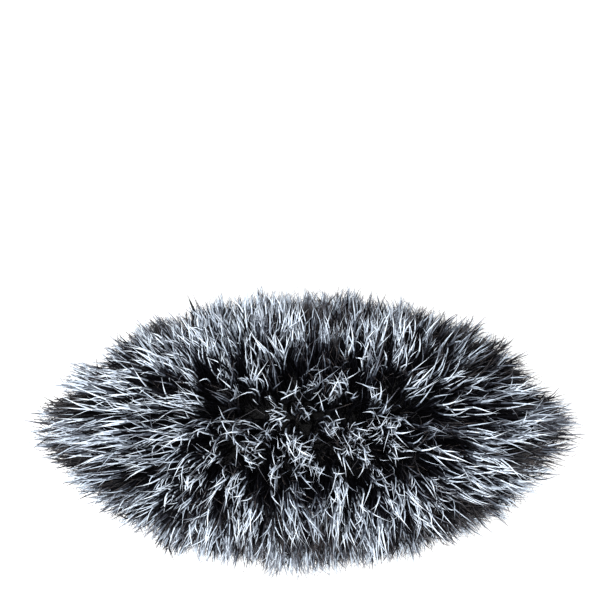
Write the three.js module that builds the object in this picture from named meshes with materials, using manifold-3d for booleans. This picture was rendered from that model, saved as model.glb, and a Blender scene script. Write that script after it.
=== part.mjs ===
// A long-pile furry windscreen for the wide head of a handheld recorder.
// Millimetres, +Z up. The origin is the middle of the mouth, on the plane that the collar rests on.
// +X runs along the long side of the oval, and the closed crown is at the top.
import * as THREE from "three";
import { mergeVertices } from "three/addons/utils/BufferGeometryUtils.js";
import Module from "manifold-3d";

const wasm = await Module();
wasm.setup();

// ---------- driving dimensions ----------
const GAP = 0.3; // air between pieces that touch
const CLEARANCE = 0.25; // radial, round a screw or a pin
const STEPS = 40; // points round an oval
const RINGS = 7; // levels up a dome
const SIDES = { large: 24, plain: 16, small: 12 }; // facets round a turned or bored form
const OVERCUT = 1; // how far a cutting solid stands proud of what it cuts

const MOUTH = { length: 74, width: 35, corner: 12 }; // the hole that a 72 x 33 recorder head enters
const CAGE = { a: 55, b: 23.5, top: 64.6, wall: 2.6 }; // outer half axes, outer height, wall
const OVAL_POWER = 2.6; // how square the oval of the cage, sock and cover is
const DOME_POWER = 2.3; // how square the shoulders of the crown are
const SPRING_LINE = 14; // where the upright wall starts to curve in to the crown
const CAGE_FOOT = 16; // top of the cage's lowest hoop
const RIBS = { count: 16, width: 2.4, seamWidth: 5 };
const HOOPS = [30, 46];
const CROWN = { radius: 9, discLow: 60, screwY: 3.6, sunk: 1.7 };
const CROWN_PLATE = { radius: 7.4, low: 56.7, high: 59.6, cover: 0.4 };
const CROWN_PAD = { a: 27, b: 10.5, low: 48, high: 56.4 };

const SOCK = { thick: 2, bottom: 3 };
const LINING = { thick: 0.8, bottom: 11.3 };
const HEM = { bottom: 3, top: 11, tape: 1, elastic: 1.2, elasticBottom: 4.5, elasticTop: 9.5 };
const PILE = { a: 85, b: 45, top: 95, bottom: 1.5, widest: 27, tuck: 0.12 }; // outside of the fur
const PILE_FOOT = [0, 0.35, 0.7]; // levels of the tucked foot, as shares of the way to the widest
const PILE_POWER = { x: 2.2, y: 1.3, dome: 2.2 }; // seen from above, a lens with pointed ends
const SEAM_ANGLE = 35; // degrees from the long axis to each seam of the cover

const COLLAR = { a: 59, b: 27.4, flange: 2.2, top: 12 };
const SEAL = { thick: 3, lip: 1 };
const JAW = { inset: 3, face: 36.6, back: 46, halfWidth: 7, low: 2.9, high: 9.3, boreEnd: 40.4 };
const JAW_MIDDLE = (JAW.low + JAW.high) / 2;
const POCKET_END = 51.5;
const PAD = { thick: 1.6, groove: 0.5, ribs: 5, pitch: 2.6, rib: 1.6, height: 5.4, slant: 0.1 };
const PIN = { radius: 1.1, start: 43.5, end: 54.3, head: 1.9, headThick: 0.8, chamfer: 0.4, tip: 0.66 };
const SPRING = { radius: 1.8, wire: 0.3, wireSides: 6, turns: 6, stepsPerTurn: 10 };
const END_PLATE = { start: 39.8, inset: 3, low: 0.3, high: 2.3 };
const BASE_SCREW = { x: 43, y: 12.4, start: 0.4, length: 19 };
const BOSS = { radius: 2.9, height: 9, floor: 1 };
const SCREW = { shank: 1.1, head: 2.2, headHeight: 1.4, rim: 0.56, socket: 0.8, socketDepth: 0.84 };
const SCREW_TIP = { length: 1, radius: 0.44 };

// ---------- materials ----------
const finish = (color, roughness, metalness = 0) =>
  new THREE.MeshStandardMaterial({ color, roughness, metalness });

const fur = finish(0x2a2c33, 0.95);
const knit = finish(0x17181b, 0.9);
const tape = finish(0x101114, 0.85);
const elastic = finish(0x1d1d20, 0.8);
const spacerMesh = finish(0x2b2d31, 0.9);
const plastic = finish(0x141517, 0.55);
const rubber = finish(0x1a1a1c, 0.8);
const foam = finish(0x333439, 1);
const steel = finish(0xb9bcc2, 0.3, 1);

// ---------- solids ----------
function solid(geometry) {
  const bare = geometry.clone();
  bare.deleteAttribute("normal");
  bare.deleteAttribute("uv");
  const merged = mergeVertices(bare, 1e-4);
  return new wasm.Manifold(
    new wasm.Mesh({
      numProp: 3,
      vertProperties: merged.attributes.position.array,
      triVerts: new Uint32Array(merged.index.array),
    }),
  );
}

function geometryOf(manifold) {
  const mesh = manifold.getMesh();
  return new THREE.BufferGeometry()
    .setAttribute("position", new THREE.BufferAttribute(mesh.vertProperties, 3))
    .setIndex(new THREE.BufferAttribute(mesh.triVerts, 1));
}

const union = (solids) => solids.reduce((whole, next) => whole.add(next));
const turned = (manifold) => solid(geometryOf(manifold).rotateZ(Math.PI));

function box([x0, x1], [y0, y1], [z0, z1]) {
  const geometry = new THREE.BoxGeometry(x1 - x0, y1 - y0, z1 - z0);
  return solid(geometry.translate((x0 + x1) / 2, (y0 + y1) / 2, (z0 + z1) / 2));
}

// An upright prism on a closed list of plan points.
function prism(points, z0, z1) {
  const options = { depth: z1 - z0, bevelEnabled: false };
  return solid(new THREE.ExtrudeGeometry(new THREE.Shape(points), options).translate(0, 0, z0));
}

// An upright round bar, and one that lies along X.
function post(radius, x, y, z0, z1, sides = SIDES.plain) {
  const geometry = new THREE.CylinderGeometry(radius, radius, z1 - z0, sides);
  return solid(geometry.rotateX(Math.PI / 2).translate(x, y, (z0 + z1) / 2));
}

function rod(radius, x0, x1, z, sides = SIDES.plain) {
  const geometry = new THREE.CylinderGeometry(radius, radius, x1 - x0, sides);
  return solid(geometry.rotateZ(Math.PI / 2).translate((x0 + x1) / 2, 0, z));
}

// A turned solid that stands on z = 0, from [radius, z] points that start and end on the axis.
function turning(profile, sides = SIDES.small) {
  return new THREE.LatheGeometry(profile.map(([r, z]) => new THREE.Vector2(r, z)), sides);
}

const rounded = (value, power) => Math.sign(value) * Math.abs(value) ** (2 / power);

// Plan points of |x/a|^powerX + |y/b|^powerY = 1, anticlockwise.
function oval(a, b, powerX = OVAL_POWER, powerY = powerX) {
  return Array.from({ length: STEPS }, (_, i) => {
    const turn = (2 * Math.PI * i) / STEPS;
    return new THREE.Vector2(
      a * rounded(Math.cos(turn), powerX),
      b * rounded(Math.sin(turn), powerY),
    );
  });
}

function roundedOblong(length, width, corner, cornerSteps = 5) {
  const x = length / 2 - corner;
  const y = width / 2 - corner;
  return [[x, y], [-x, y], [-x, -y], [x, -y]].flatMap(([cx, cy], quarter) =>
    Array.from({ length: cornerSteps + 1 }, (_, i) => {
      const turn = (Math.PI / 2) * (quarter + i / cornerSteps);
      return new THREE.Vector2(cx + corner * Math.cos(turn), cy + corner * Math.sin(turn));
    }),
  );
}

// A closed solid: the plan outline scaled and lifted by each [scale, z] level, up to an apex.
function dome(outline, levels, apex) {
  const positions = levels.flatMap(([scale, z]) => outline.flatMap((p) => [p.x * scale, p.y * scale, z]));
  const count = outline.length;
  const footMiddle = levels.length * count;
  const top = footMiddle + 1;
  const lastRing = (levels.length - 1) * count;
  positions.push(0, 0, levels[0][1], 0, 0, apex);
  const faces = [];
  for (let i = 0; i < count; i++) {
    const next = (i + 1) % count;
    faces.push(footMiddle, next, i, top, lastRing + i, lastRing + next);
    for (let low = 0; low < lastRing; low += count) {
      faces.push(low + i, low + next, low + count + next);
      faces.push(low + i, low + count + next, low + count + i);
    }
  }
  const geometry = new THREE.BufferGeometry();
  geometry.setAttribute("position", new THREE.Float32BufferAttribute(positions, 3));
  return solid(geometry.setIndex(faces));
}

// Levels of a quarter superellipse, from full width at z0 almost to nothing at the top.
function domeLevels(z0, top, power) {
  return Array.from({ length: RINGS }, (_, i) => {
    const turn = (Math.PI / 2) * (i / RINGS);
    return [Math.cos(turn) ** (2 / power), z0 + (top - z0) * Math.sin(turn) ** (2 / power)];
  });
}

const grownOval = (grow) => oval(CAGE.a + grow, CAGE.b + grow);

// The cage's outer form, larger all round by grow, with its foot at z = bottom.
function form(grow, bottom) {
  const top = CAGE.top + grow;
  return dome(grownOval(grow), [[1, bottom], ...domeLevels(SPRING_LINE, top, DOME_POWER)], top);
}

function shell(inside, thick, bottom) {
  return form(inside + thick, bottom).subtract(form(inside, bottom - OVERCUT));
}

function ring(outside, inside, z0, z1) {
  return prism(outside, z0, z1).subtract(prism(inside, z0 - OVERCUT, z1 + OVERCUT));
}

// ---------- assembly ----------
const windscreen = new THREE.Group();

function add(name, material, shape, turn = 0) {
  const mesh = new THREE.Mesh(shape.isBufferGeometry ? shape : geometryOf(shape), material);
  mesh.name = name;
  mesh.rotation.z = turn;
  windscreen.add(mesh);
}

// ---------- fur cover, from the inside out ----------
const liningIn = GAP + SOCK.thick + GAP;
const backingIn = liningIn + LINING.thick + GAP;
const tapeOut = liningIn + HEM.tape;
const elasticOut = tapeOut + GAP + HEM.elastic;

function pileForm() {
  const tucked = PILE_FOOT.map((t) => [
    1 - PILE.tuck * (1 - t) ** 2,
    PILE.bottom + (PILE.widest - PILE.bottom) * t,
  ]);
  const levels = [...tucked, ...domeLevels(PILE.widest, PILE.top, PILE_POWER.dome)];
  return dome(oval(PILE.a, PILE.b, PILE_POWER.x, PILE_POWER.y), levels, PILE.top);
}

// An upright wedge between two seam directions, drawn back from both by half a gap.
function wedge(fromDegrees, toDegrees) {
  const [from, to] = [fromDegrees, toDegrees].map(THREE.MathUtils.degToRad);
  const middle = (from + to) / 2;
  const along = (angle, length) =>
    new THREE.Vector2(Math.cos(angle), Math.sin(angle)).multiplyScalar(length);
  const apex = along(middle, GAP / 2 / Math.sin((to - from) / 2));
  const rim = [from, middle, to].map((angle) => along(angle, 4 * PILE.a).add(apex));
  return prism([apex, ...rim], 0, PILE.top + OVERCUT);
}

const hemRoom = prism(grownOval(elasticOut + GAP), 0, LINING.bottom);
const cover = pileForm().subtract(form(backingIn, 0)).subtract(hemRoom);
const panels = [
  ["fur_back", SEAM_ANGLE, 180 - SEAM_ANGLE],
  ["fur_left", 180 - SEAM_ANGLE, 180 + SEAM_ANGLE],
  ["fur_front", 180 + SEAM_ANGLE, 360 - SEAM_ANGLE],
  ["fur_right", -SEAM_ANGLE, SEAM_ANGLE],
];
for (const [name, from, to] of panels) add(name, fur, cover.intersect(wedge(from, to)));
add("cover_lining", knit, shell(liningIn, LINING.thick, LINING.bottom));
add("hem_tape", tape, ring(grownOval(tapeOut), grownOval(liningIn), HEM.bottom, HEM.top));
const elasticRing = [grownOval(elasticOut), grownOval(tapeOut + GAP)];
add("hem_elastic", elastic, ring(...elasticRing, HEM.elasticBottom, HEM.elasticTop));

// ---------- screws ----------
// Standing head down: a countersunk head with a round socket, a plain shank and a blunt tip.
function screw(length) {
  const { shank, head, headHeight, rim, socket, socketDepth } = SCREW;
  return turning([
    [0, socketDepth],
    [socket, socketDepth],
    [socket, 0],
    [head, 0],
    [head, rim],
    [shank, headHeight],
    [shank, length - SCREW_TIP.length],
    [SCREW_TIP.radius, length],
    [0, length],
  ]).rotateX(Math.PI / 2);
}

const cornerSigns = [[1, 1], [-1, 1], [-1, -1], [1, -1]];
const baseScrews = cornerSigns.map(([x, y]) => [x * BASE_SCREW.x, y * BASE_SCREW.y]);
const shankHoles = (z0, z1) =>
  union(baseScrews.map(([x, y]) => post(SCREW.shank + CLEARANCE, x, y, z0, z1, SIDES.small)));

baseScrews.forEach(([x, y], i) => {
  add(`base_screw_${i + 1}`, steel, screw(BASE_SCREW.length).translate(x, y, BASE_SCREW.start));
});

// ---------- cage in two halves, its crown plate, and the sock over it ----------
function ribSlabs() {
  return Array.from({ length: RIBS.count / 2 }, (_, k) => {
    const turn = (2 * Math.PI * k) / RIBS.count;
    const x = CAGE.a * rounded(Math.cos(turn), OVAL_POWER);
    const y = CAGE.b * rounded(Math.sin(turn), OVAL_POWER);
    const width = k === 0 ? RIBS.seamWidth : RIBS.width;
    const slab = new THREE.BoxGeometry(3 * CAGE.a, width, 2 * CAGE.top);
    return solid(slab.rotateZ(Math.atan2(y, x)));
  });
}

const across = (y0, y1, z0, z1) => box([-2 * CAGE.a, 2 * CAGE.a], [y0, y1], [z0, z1]);
const slice = (z0, z1) => across(-2 * CAGE.b, 2 * CAGE.b, z0, z1);

const footLevel = COLLAR.top + GAP;
const outside = form(0, footLevel);
const lattice = union([
  ...ribSlabs(),
  ...HOOPS.map((z) => slice(z, z + RIBS.width)),
  slice(0, CAGE_FOOT),
]);
const bosses = union([
  ...baseScrews.map(([x, y]) => post(BOSS.radius, x, y, footLevel, footLevel + BOSS.height)),
  post(CROWN.radius, 0, 0, CROWN.discLow, CAGE.top + OVERCUT, SIDES.large),
]);
const crownHoles = union([1, -1].map((side) => {
  const y = side * CROWN.screwY;
  const headFloor = CAGE.top - CROWN.sunk - SCREW.headHeight - CLEARANCE;
  return post(SCREW.shank + CLEARANCE, 0, y, CROWN.discLow - OVERCUT, CAGE.top, SIDES.small)
    .add(post(SCREW.head + CLEARANCE, 0, y, headFloor, CAGE.top + OVERCUT, SIDES.small));
}));
const cage = outside
  .subtract(form(-CAGE.wall, footLevel - OVERCUT))
  .intersect(lattice)
  .add(bosses.intersect(outside))
  .subtract(shankHoles(footLevel - OVERCUT, footLevel + BOSS.height - BOSS.floor))
  .subtract(crownHoles);
add("cage_front", plastic, cage.intersect(across(-2 * CAGE.b, -GAP / 2, 0, 2 * CAGE.top)));
add("cage_back", plastic, cage.intersect(across(GAP / 2, 2 * CAGE.b, 0, 2 * CAGE.top)));

const crownScrewLength = CAGE.top - CROWN.sunk - CROWN_PLATE.low - CROWN_PLATE.cover;
const plateHoles = union([1, -1].map((side) => {
  const y = side * CROWN.screwY;
  return post(SCREW.shank + CLEARANCE, 0, y, CROWN_PLATE.low - OVERCUT, CAGE.top, SIDES.small);
}));
const plateDisc = post(CROWN_PLATE.radius, 0, 0, CROWN_PLATE.low, CROWN_PLATE.high, SIDES.large);
add("crown_plate", plastic, plateDisc.subtract(plateHoles));
for (const [name, side] of [["crown_screw_front", -1], ["crown_screw_back", 1]]) {
  const headDown = screw(crownScrewLength).rotateX(Math.PI);
  add(name, steel, headDown.translate(0, side * CROWN.screwY, CAGE.top - CROWN.sunk));
}
add("crown_pad", foam, prism(oval(CROWN_PAD.a, CROWN_PAD.b), CROWN_PAD.low, CROWN_PAD.high));
add("spacer_sock", spacerMesh, shell(GAP, SOCK.thick, SOCK.bottom));

// ---------- collar, its seal and the grip at each end ----------
function endPlateBlank(grow, low, high) {
  const inset = END_PLATE.inset - grow;
  const outline = prism(oval(COLLAR.a - inset, COLLAR.b - inset), low, high);
  const end = box([END_PLATE.start - grow, COLLAR.a], [-COLLAR.b, COLLAR.b], [-OVERCUT, COLLAR.top]);
  return outline.intersect(end);
}

const pocketWall = JAW.halfWidth + GAP;
const endRoom = union([
  box([JAW.face - JAW.inset, POCKET_END], [-pocketWall, pocketWall], [JAW.low - GAP, JAW.high + GAP]),
  rod(PIN.radius + CLEARANCE, POCKET_END - OVERCUT, COLLAR.a, JAW_MIDDLE),
  rod(PIN.head + CLEARANCE, PIN.end - PIN.headThick - CLEARANCE, COLLAR.a, JAW_MIDDLE),
  endPlateBlank(GAP, -OVERCUT, END_PLATE.high + GAP),
]);
const flange = prism(oval(COLLAR.a, COLLAR.b), 0, COLLAR.flange);
const mouthOutline = roundedOblong(MOUTH.length, MOUTH.width, MOUTH.corner);
const mouth = prism(mouthOutline, -OVERCUT, COLLAR.top + OVERCUT);
const collar = flange
  .add(prism(grownOval(0), 0, COLLAR.top))
  .subtract(mouth)
  .subtract(union([endRoom, turned(endRoom), shankHoles(-OVERCUT, COLLAR.top + OVERCUT)]));
add("collar", plastic, collar);

const lip = roundedOblong(MOUTH.length - SEAL.lip, MOUTH.width - SEAL.lip, MOUTH.corner - SEAL.lip);
const bossRoom = union(baseScrews.map(([x, y]) =>
  post(BOSS.radius + GAP, x, y, COLLAR.top, COLLAR.top + SEAL.thick + OVERCUT)));
const seal = ring(grownOval(-CAGE.wall - GAP), lip, footLevel, footLevel + SEAL.thick);
add("mouth_seal", rubber, seal.subtract(bossRoom));

// The spring's centre line, along X.
class Coil extends THREE.Curve {
  constructor(x0, x1) {
    super();
    this.x0 = x0;
    this.x1 = x1;
  }

  getPoint(t) {
    const turn = 2 * Math.PI * SPRING.turns * t;
    return new THREE.Vector3(
      this.x0 + (this.x1 - this.x0) * t,
      SPRING.radius * Math.cos(turn),
      JAW_MIDDLE + SPRING.radius * Math.sin(turn),
    );
  }
}

function springGeometry() {
  const ends = [JAW.boreEnd + SPRING.wire + GAP, POCKET_END - SPRING.wire - GAP];
  const section = Array.from({ length: SPRING.wireSides }, (_, i) => {
    const turn = (2 * Math.PI * i) / SPRING.wireSides;
    return new THREE.Vector2(SPRING.wire * Math.cos(turn), SPRING.wire * Math.sin(turn));
  });
  const steps = SPRING.turns * SPRING.stepsPerTurn;
  const options = { steps, bevelEnabled: false, extrudePath: new Coil(...ends) };
  return new THREE.ExtrudeGeometry(new THREE.Shape(section), options);
}

function padSolid() {
  const back = JAW.face - GAP;
  const face = back - PAD.thick;
  const points = [[back, -PAD.pitch * (PAD.ribs / 2)], [back, PAD.pitch * (PAD.ribs / 2)]];
  for (let i = PAD.ribs - 1; i >= 0; i--) {
    const y = PAD.pitch * (i - (PAD.ribs - 1) / 2);
    points.push([face + PAD.groove, y + PAD.pitch / 2 - PAD.slant], [face, y + PAD.rib / 2]);
    points.push([face, y - PAD.rib / 2], [face + PAD.groove, y - PAD.pitch / 2 + PAD.slant]);
  }
  const outline = points.map(([x, y]) => new THREE.Vector2(x, y));
  return prism(outline, JAW_MIDDLE - PAD.height / 2, JAW_MIDDLE + PAD.height / 2);
}

const jaw = box([JAW.face, JAW.back], [-JAW.halfWidth, JAW.halfWidth], [JAW.low, JAW.high])
  .subtract(rod(SPRING.radius + SPRING.wire + CLEARANCE, JAW.boreEnd, JAW.back + OVERCUT, JAW_MIDDLE));
const pin = turning([
  [0, 0],
  [PIN.head, 0],
  [PIN.head, PIN.headThick],
  [PIN.radius, PIN.headThick],
  [PIN.radius, PIN.end - PIN.start - PIN.chamfer],
  [PIN.tip, PIN.end - PIN.start],
  [0, PIN.end - PIN.start],
]).rotateZ(Math.PI / 2).translate(PIN.end, 0, JAW_MIDDLE);
const screwSeats = union(baseScrews.slice(0, 1).concat(baseScrews.slice(3)).map(([x, y]) => {
  const headRoom = BASE_SCREW.start + SCREW.headHeight + CLEARANCE / 2;
  return post(SCREW.shank + CLEARANCE, x, y, -OVERCUT, COLLAR.top, SIDES.small)
    .add(post(SCREW.head + CLEARANCE, x, y, -OVERCUT, headRoom, SIDES.small));
}));
const endPlate = endPlateBlank(0, END_PLATE.low, END_PLATE.high).subtract(screwSeats);

// The +X end as made, and the same pieces turned half round for the -X end.
for (const [side, turn] of [["right", 0], ["left", Math.PI]]) {
  add(`jaw_${side}`, plastic, jaw, turn);
  add(`jaw_pad_${side}`, rubber, padSolid(), turn);
  add(`jaw_spring_${side}`, steel, springGeometry(), turn);
  add(`jaw_pin_${side}`, steel, pin, turn);
  add(`end_plate_${side}`, plastic, endPlate, turn);
}

export default windscreen;
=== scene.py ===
import logging
import math
from dataclasses import dataclass
from enum import Enum
from typing import Any, Iterable, Sequence

import bpy
import numpy as np
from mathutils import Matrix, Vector


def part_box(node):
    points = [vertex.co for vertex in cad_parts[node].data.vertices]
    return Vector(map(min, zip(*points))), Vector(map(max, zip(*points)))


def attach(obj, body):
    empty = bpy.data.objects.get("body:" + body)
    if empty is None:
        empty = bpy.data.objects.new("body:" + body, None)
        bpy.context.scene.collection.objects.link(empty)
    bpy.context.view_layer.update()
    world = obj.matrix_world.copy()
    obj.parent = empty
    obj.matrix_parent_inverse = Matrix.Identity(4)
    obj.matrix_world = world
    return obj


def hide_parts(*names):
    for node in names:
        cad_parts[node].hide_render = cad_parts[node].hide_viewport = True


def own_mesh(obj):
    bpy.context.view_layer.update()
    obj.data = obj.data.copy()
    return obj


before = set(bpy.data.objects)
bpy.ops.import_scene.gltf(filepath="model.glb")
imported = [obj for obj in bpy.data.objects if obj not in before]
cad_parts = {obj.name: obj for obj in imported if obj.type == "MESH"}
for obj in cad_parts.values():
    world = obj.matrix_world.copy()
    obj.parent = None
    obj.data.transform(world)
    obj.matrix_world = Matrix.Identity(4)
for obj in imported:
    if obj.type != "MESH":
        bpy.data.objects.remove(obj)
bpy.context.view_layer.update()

LOG = logging.getLogger("windscreen")
MM = 0.001
FLOAT, VECTOR = "FLOAT", "FLOAT_VECTOR"

Colour = tuple[float, float, float]
Material = bpy.types.Material
Mesh = bpy.types.Mesh
Node = bpy.types.Node
Piece = bpy.types.Object
Socket = bpy.types.NodeSocket


# Forms


@dataclass(frozen=True)
class OvalDome:
    """An oval form with upright walls, a rounded crown and, if it is tucked, a narrower foot.

    The plan is |x/a|^plan_x + |y/b|^plan_y = 1, and the crown closes as a superellipse.
    """

    half_length: float
    half_width: float
    foot: float
    shoulder: float
    top: float
    plan_x: float = 2.6
    plan_y: float = 2.6
    crown_power: float = 2.3
    tuck: float = 0.0

    def climb(self, height: np.ndarray) -> np.ndarray:
        """Say how far up the crown each height is, from 0 at the shoulder to 1 at the top."""
        return np.clip((height - self.shoulder) / (self.top - self.shoulder), 0, 1)

    def width_at(self, height: np.ndarray) -> np.ndarray:
        """Give the share of the full plan that the form has at each height.

        Args:
            height: Heights in metres.

        Returns:
            Shares from 0 at the crown to 1 at the shoulder.
        """
        down = np.clip((self.shoulder - height) / (self.shoulder - self.foot), 0, 1)
        crown = (1 - self.climb(height) ** self.crown_power) ** (1 / self.crown_power)
        return np.where(height > self.shoulder, crown, 1 - self.tuck * down**2)

    def fill(self, points: np.ndarray) -> np.ndarray:
        """Say how far out in the form each point is.

        Args:
            points: An array of points, one row each.

        Returns:
            One number for each point, under 1 inside and over 1 outside.
        """
        share = np.maximum(self.width_at(points[:, 2]), 1e-6)
        x = np.abs(points[:, 0]) / (self.half_length * share)
        y = np.abs(points[:, 1]) / (self.half_width * share)
        above = 9.0 * (points[:, 2] > self.top)
        return x**self.plan_x + y**self.plan_y + above

    def normal(self, points: np.ndarray) -> np.ndarray:
        """Find which way the form faces at points on it, where its two plan powers are one.

        Args:
            points: An array of points, one row each.

        Returns:
            Unit vectors, one row each.
        """
        flat = np.abs(points[:, :2]) / (self.half_length, self.half_width)
        plan = np.maximum((flat**self.plan_x).sum(axis=1), 1e-12)
        pull = plan ** (self.crown_power / self.plan_x - 1)
        out = np.empty_like(points)
        for axis, half in enumerate((self.half_length, self.half_width)):
            steep = flat[:, axis] ** (self.plan_x - 1) * np.sign(points[:, axis])
            out[:, axis] = pull * steep / half
        rise = self.climb(points[:, 2]) ** (self.crown_power - 1)
        out[:, 2] = rise / (self.top - self.shoulder)
        return out / np.maximum(np.linalg.norm(out, axis=1, keepdims=True), 1e-12)

    def point(self, turn: np.ndarray, rise: np.ndarray) -> np.ndarray:
        """Find points on the form.

        Args:
            turn: Angles round the plan, in radians.
            rise: Places up the wall, from 0 at the foot to 1 at the top of the crown.

        Returns:
            An array of points, one row each.
        """
        wall = (self.shoulder - self.foot) / (self.top - self.foot)
        arc = np.clip((rise - wall) / (1 - wall), 0, 1) * (math.pi / 2)
        on_crown = rise > wall
        lift = np.sin(arc) ** (2 / self.crown_power)
        low = self.foot + (self.shoulder - self.foot) * rise / wall
        height = np.where(on_crown, self.shoulder + (self.top - self.shoulder) * lift, low)
        share = np.where(on_crown, np.cos(arc) ** (2 / self.crown_power), self.width_at(low))
        across, along = np.cos(turn), np.sin(turn)
        x = self.half_length * np.sign(across) * np.abs(across) ** (2 / self.plan_x)
        y = self.half_width * np.sign(along) * np.abs(along) ** (2 / self.plan_y)
        return np.stack([x * share, y * share, height], axis=-1)

    def rows(self, turn: np.ndarray, count: int) -> list[np.ndarray]:
        """Lay rows of points up the form, closer together toward the crown."""
        levels = 1 - np.linspace(1, 0, count, endpoint=False) ** 1.3
        return [self.point(turn, np.full(len(turn), rise)) for rise in levels]


def full_turn(count: int) -> np.ndarray:
    """Give evenly spaced angles all the way round."""
    return np.linspace(0, 2 * math.pi, count, endpoint=False)


def oval(half_length: float, half_width: float, height: float, count: int) -> np.ndarray:
    """Lay one closed row of points on the oval of the cage and the hem.

    Args:
        half_length: Half the oval's length.
        half_width: Half its width.
        height: Its level.
        count: The number of points.

    Returns:
        The points.
    """
    plan = OvalDome(half_length, half_width, 0, 1, 2)
    points = plan.point(full_turn(count), np.zeros(count))
    points[:, 2] = height
    return points


# Node writing


class Graph:
    """A node tree being written, with short calls for its nodes and links."""

    def __init__(self, tree: bpy.types.NodeTree) -> None:
        """Hold the shader or geometry tree to write in."""
        self.tree = tree

    def set(self, node: Node, key: int | str, value: Any) -> None:
        """Link a socket to an input, or give the input a plain value.

        Args:
            node: The node that has the input.
            key: The input's index, identifier or name.
            value: An output socket, or a value.
        """
        known = {s.identifier: s for s in node.inputs} if isinstance(key, str) else {}
        socket = known.get(key) or node.inputs[key]
        if isinstance(value, Socket):
            self.tree.links.new(value, socket)
        else:
            socket.default_value = value

    def node(self, kind: str, inputs: dict[int | str, Any] | None = None,
             **settings: Any) -> Node:
        """Add a node.

        Args:
            kind: The node's type name.
            inputs: Sockets or values for its inputs.
            **settings: Properties of the node, such as its operation.

        Returns:
            The new node.
        """
        made = self.tree.nodes.new(kind)
        for name, value in settings.items():
            setattr(made, name, value)
        for key, value in (inputs or {}).items():
            self.set(made, key, value)
        return made

    def use(self, kind: str, inputs: dict[int | str, Any] | None = None,
            output: int | str = 0, **settings: Any) -> Socket:
        """Add a node as node does, and give one of its outputs."""
        return self.node(kind, inputs, **settings).outputs[output]

    def math(self, operation: str, *values: Any) -> Socket:
        """Work out a number from sockets or numbers."""
        return self.use("ShaderNodeMath", dict(enumerate(values)), operation=operation)

    def times(self, first: Any, *others: Any) -> Socket:
        """Multiply numbers together, from left to right."""
        for other in others:
            first = self.math("MULTIPLY", first, other)
        return first

    def vector(self, operation: str, *values: Any, output: int = 0) -> Socket:
        """Work out a vector, or with output 1 a number, from sockets or vectors."""
        inputs = dict(enumerate(values))
        return self.use("ShaderNodeVectorMath", inputs, output, operation=operation)

    def scaled(self, vector: Socket, factor: Any) -> Socket:
        """Multiply a vector by a number."""
        return self.use("ShaderNodeVectorMath", {0: vector, "Scale": factor}, operation="SCALE")

    def total(self, first: Socket, *others: Socket) -> Socket:
        """Add vectors together, from left to right."""
        for other in others:
            first = self.vector("ADD", first, other)
        return first


# Finishes


class Tone(Enum):
    """The tones of the fibre, with the greatest shade number that each takes."""

    FROST = 0.34
    ICE = 0.50
    SMOKE = 0.62
    SABLE = 9.0


@dataclass(frozen=True)
class DyeLot:
    """The dyed fibre: near-black roots, a fade, and a pale length up to a thin tip.

    Each tone has one colour for each band of the strand, and starts says where a band begins.
    The painted side light is painted light falling from the left: it makes the tone darker at the
    right end than in the middle, and paler at the left end.
    """

    name: str
    colours: dict[Tone, Sequence[Colour]]
    starts: tuple[float, ...] = (-1.0, 0.5, 0.6, 0.7, 0.8, 0.93)
    shine: tuple[float, ...] = (0.02, 0.03, 0.08, 0.2, 0.3, 0.15)
    roughness: float = 0.48
    half_length: float = 0.085
    # painted light from the left, given as a shift in tone along the length
    painted_side_light: float = 0.085

    def tones(self) -> Iterable[tuple[Tone, tuple[float, float]]]:
        """Give each tone with the shade numbers that it takes, from low to high."""
        low = -9.0
        for tone in self.colours:
            yield tone, (low, tone.value)
            low = tone.value

    def material(self, tone: Tone, band: int) -> Material:
        """Get a band's material, making it the first time.

        Args:
            tone: The strand's tone.
            band: The band's number from the root.

        Returns:
            The material.
        """
        name = f"{self.name}_{tone.name.lower()}_{band}"
        known = bpy.data.materials.get(name)
        if known:
            return known
        shade = Shade(name)
        shade.set(shade.shader, "Base Color", (*self.colours[tone][band], 1.0))
        shade.set(shade.shader, "Roughness", self.roughness)
        shade.set(shade.shader, "Specular IOR Level", self.shine[band])
        return shade.material


BLACK = (0.0028, 0.0028, 0.0038)
GUARD_DYE = DyeLot("guard", {
    Tone.FROST: (BLACK, (0.012, 0.013, 0.017), (0.14, 0.16, 0.19), (0.56, 0.63, 0.73),
                 (0.76, 0.84, 0.93), (0.46, 0.50, 0.56)),
    Tone.ICE: (BLACK, (0.007, 0.007, 0.010), (0.06, 0.07, 0.09), (0.32, 0.37, 0.44),
               (0.47, 0.54, 0.63), (0.28, 0.31, 0.36)),
    Tone.SMOKE: (BLACK, BLACK, (0.014, 0.015, 0.021), (0.06, 0.07, 0.09),
                 (0.15, 0.17, 0.21), (0.10, 0.10, 0.12)),
    Tone.SABLE: (BLACK, BLACK, BLACK, (0.005, 0.005, 0.007),
                 (0.010, 0.009, 0.012), (0.060, 0.050, 0.048)),
})
UNDER_DYE = DyeLot("under", {Tone.SABLE: (BLACK,)}, starts=(-1.0,))
FLUFF_DYE = DyeLot("fluff", {
    Tone.ICE: ((0.012, 0.012, 0.015), (0.15, 0.155, 0.18), (0.11, 0.105, 0.11)),
    Tone.SABLE: ((0.008, 0.008, 0.010), (0.07, 0.068, 0.075), (0.09, 0.08, 0.08)),
}, starts=(-1.0, 0.5, 0.85))


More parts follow.
